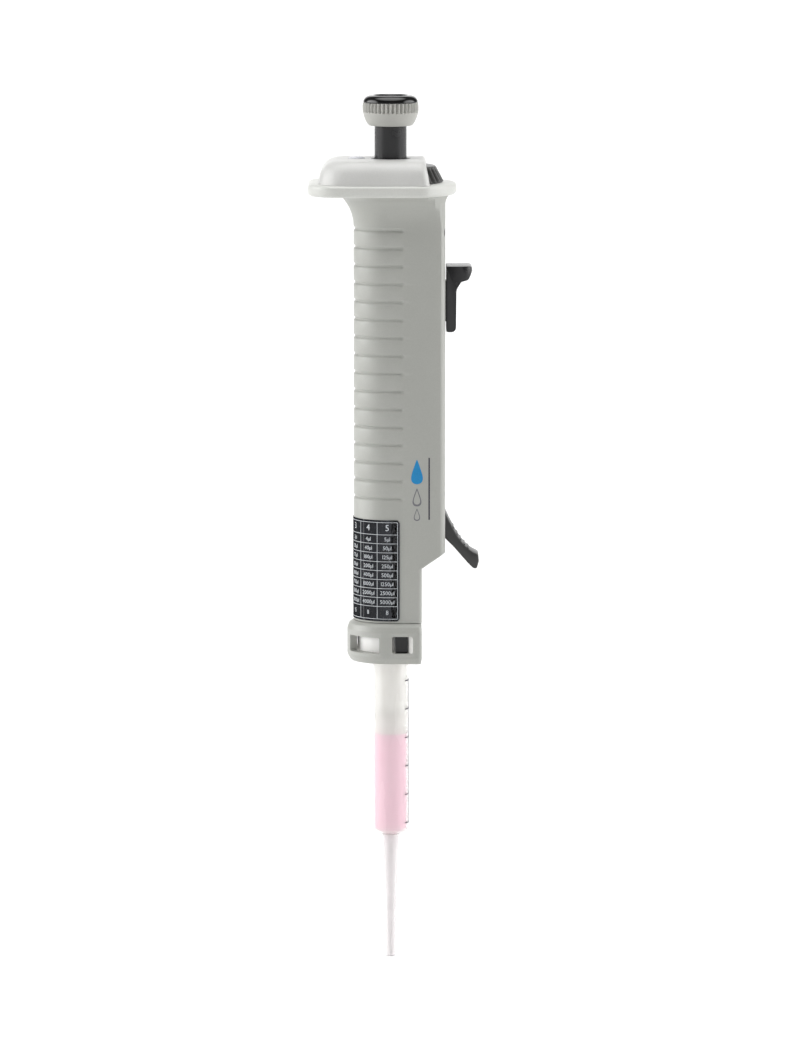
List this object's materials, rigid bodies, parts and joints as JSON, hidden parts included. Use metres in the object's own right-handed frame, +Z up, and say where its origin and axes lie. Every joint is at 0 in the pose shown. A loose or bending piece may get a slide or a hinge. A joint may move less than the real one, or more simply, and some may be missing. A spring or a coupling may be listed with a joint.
{
  "type": "repeating dispenser pipette",
  "caption": "Hand-held repeating dispenser pipette with push button, stroke dial, filling and clamp levers, and a fitted syringe tip.",
  "frame": {"origin": "on the axis of the button and tip, in the plane of the finger rest's underside, by which the pipette hangs on a stand", "axes": "+Z up along the axis, from tip to button; +X towards the side with the two levers; Y across the width"},
  "size_m": [0.0595, 0.042, 0.3044],
  "materials": {
    "housing": "fine satin texture",
    "head_shell": "satin",
    "knob_grey": "satin",
    "cap_black": "polished",
    "black_plastic": "satin",
    "white_plastic": "natural",
    "label": "laminated print",
    "lens": "polished",
    "tip_plastic": "translucent",
    "seal_white": "natural",
    "liquid": "clear tinted",
    "steel": "machined",
    "brass": "machined"
  },
  "bodies": {
    "root": {"main_housing": "housing", "front_cover": "housing", "cover_screw_upper_left": "steel", "cover_screw_upper_right": "steel", "cover_screw_lower_left": "steel", "cover_screw_lower_right": "steel", "volume_label": "label", "tip_socket_ring": "housing", "finger_rest": "housing", "head_screw_left": "steel", "head_screw_right": "steel", "head_cover": "head_shell", "button_bushing": "black_plastic", "dial_window": "lens", "dial_detent_spring": "steel", "return_spring": "steel", "guide_rail_left": "white_plastic", "guide_rail_right": "white_plastic", "upper_bulkhead": "white_plastic", "lower_bulkhead": "white_plastic", "clamp_lever_pin": "steel", "lever_spring": "steel", "latch_pin_left": "steel", "latch_pin_right": "steel", "tip_seat": "black_plastic", "tip_barrel": "tip_plastic", "liquid": "liquid"},
    "button": {"button_collar": "knob_grey", "button_cap": "cap_black", "button_shaft": "black_plastic", "drive_rod": "steel", "pawl_carrier": "white_plastic", "pawl_pin": "steel"},
    "pawl": {"drive_pawl": "steel"},
    "dial": {"stroke_dial": "black_plastic", "step_mask": "white_plastic"},
    "carriage": {"rack": "brass", "fill_lever": "black_plastic", "fill_lever_screw_upper": "steel", "fill_lever_screw_lower": "steel", "chuck_body": "black_plastic", "chuck_jaw_left": "steel", "chuck_jaw_right": "steel", "chuck_spring_ring": "steel", "piston_rod": "tip_plastic", "piston_seal": "seal_white"},
    "clamp_lever": {"clamp_lever": "black_plastic"},
    "release_link": {"release_link": "white_plastic"},
    "latch_left": {"latch_left": "black_plastic"},
    "latch_right": {"latch_right": "black_plastic"}
  },
  "joints": [
    {"name": "button_press", "type": "slide", "parent": "root", "child": "button", "axis": [0, 0, 1], "range_m": [-0.008, 0], "stiffness_N_per_m": 400, "springref_m": 0.004, "deforming": ["return_spring"]},
    {"name": "pawl_swing", "type": "hinge", "parent": "button", "child": "pawl", "pos_m": [0.0046, 0, -0.052], "axis": [0, 1, 0], "range_deg": [0, 4], "stiffness_Nm_per_rad": 0.02, "springref_deg": -11.46},
    {"name": "dial_turn", "type": "hinge", "parent": "root", "child": "dial", "pos_m": [0, 0, 0], "axis": [0, 0, 1], "range_deg": [0, 288]},
    {"name": "fill_slide", "type": "slide", "parent": "root", "child": "carriage", "axis": [0, 0, 1], "range_m": [-0.0314, 0.0192], "deforming": ["liquid"]},
    {"name": "clamp_lever_swing", "type": "hinge", "parent": "root", "child": "clamp_lever", "pos_m": [0.015, 0, -0.1135], "axis": [0, 1, 0], "range_deg": [0, 25], "stiffness_Nm_per_rad": 0.06, "springref_deg": -17.19, "deforming": ["lever_spring"]},
    {"name": "link_lift", "type": "slide", "parent": "root", "child": "release_link", "axis": [0, 0, 1], "range_m": [0, 0.0031]},
    {"name": "latch_open_left", "type": "hinge", "parent": "root", "child": "latch_left", "pos_m": [0.0038, -0.01, -0.14], "axis": [-1, 0, 0], "range_deg": [0, 3.3]},
    {"name": "latch_open_right", "type": "hinge", "parent": "root", "child": "latch_right", "pos_m": [0.0038, 0.01, -0.14], "axis": [1, 0, 0], "range_deg": [0, 3.3]}
  ],
  "couplings": [
    {"joint": "link_lift", "follows": "clamp_lever_swing", "m_per_rad": 0.007},
    {"joint": "latch_open_left", "follows": "clamp_lever_swing", "ratio": 0.128},
    {"joint": "latch_open_right", "follows": "clamp_lever_swing", "ratio": 0.128}
  ]
}
